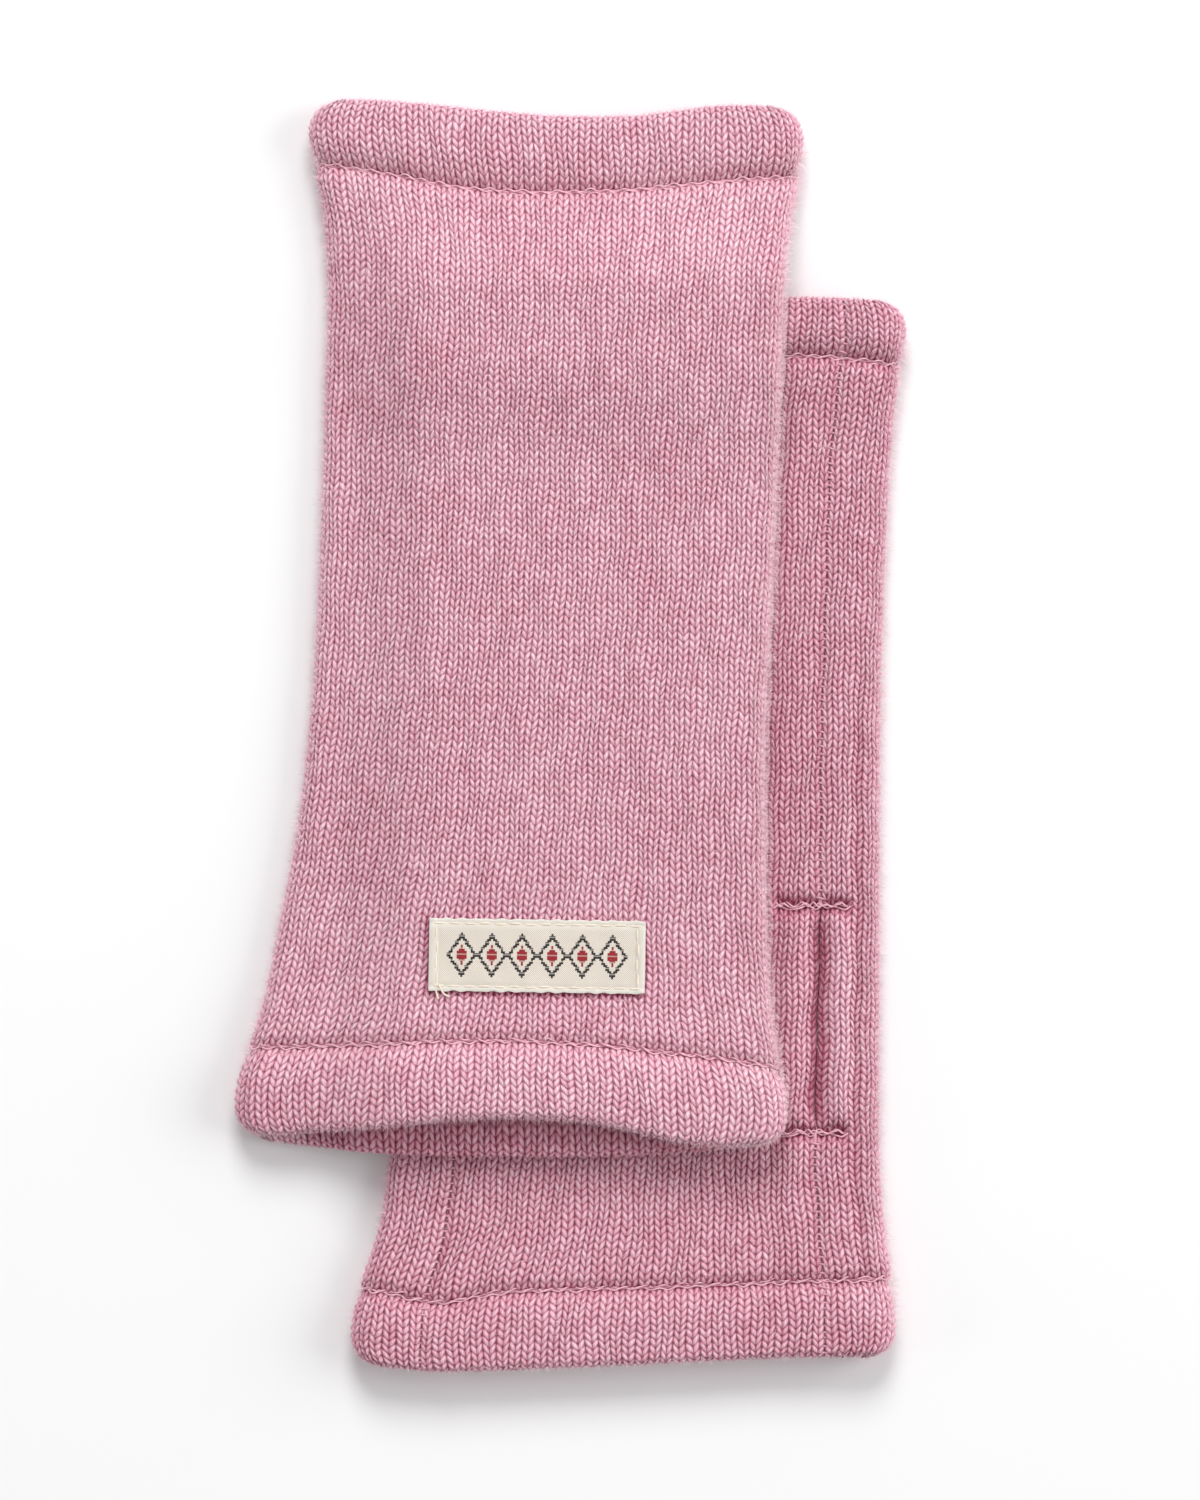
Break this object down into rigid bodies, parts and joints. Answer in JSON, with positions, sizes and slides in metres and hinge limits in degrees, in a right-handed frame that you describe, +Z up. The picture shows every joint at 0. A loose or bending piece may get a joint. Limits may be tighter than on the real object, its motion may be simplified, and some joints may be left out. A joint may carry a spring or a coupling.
{
  "type": "pair of wrist warmers",
  "caption": "Knitted fingerless tubes for wrist and palm, with stitched double hems, a thumb slit in the seam and a small woven label, laid flat and partly overlapping.",
  "frame": {"origin": "centre of the pair's bounding box at its base, on the surface that the warmers lie on", "axes": "+Y along the warmers, from their arm ends to their finger ends; +Z up, from the surface; +X across, towards the lower warmer's thumb slit"},
  "size_m": [0.14, 0.2668, 0.0189],
  "materials": {
    "knit": "soft fuzzy stockinette wool, dusty pink",
    "label": "cream woven tape"
  },
  "bodies": {
    "root": {"lower_back_panel": "knit", "lower_back_arm_hem": "knit", "lower_back_finger_hem": "knit", "lower_palm_panel": "knit", "lower_palm_arm_hem": "knit", "lower_palm_finger_hem": "knit", "upper_back_panel": "knit", "upper_back_arm_hem": "knit", "upper_back_finger_hem": "knit", "upper_palm_panel": "knit", "upper_palm_arm_hem": "knit", "upper_palm_finger_hem": "knit", "upper_label": "label"}
  },
  "joints": []
}
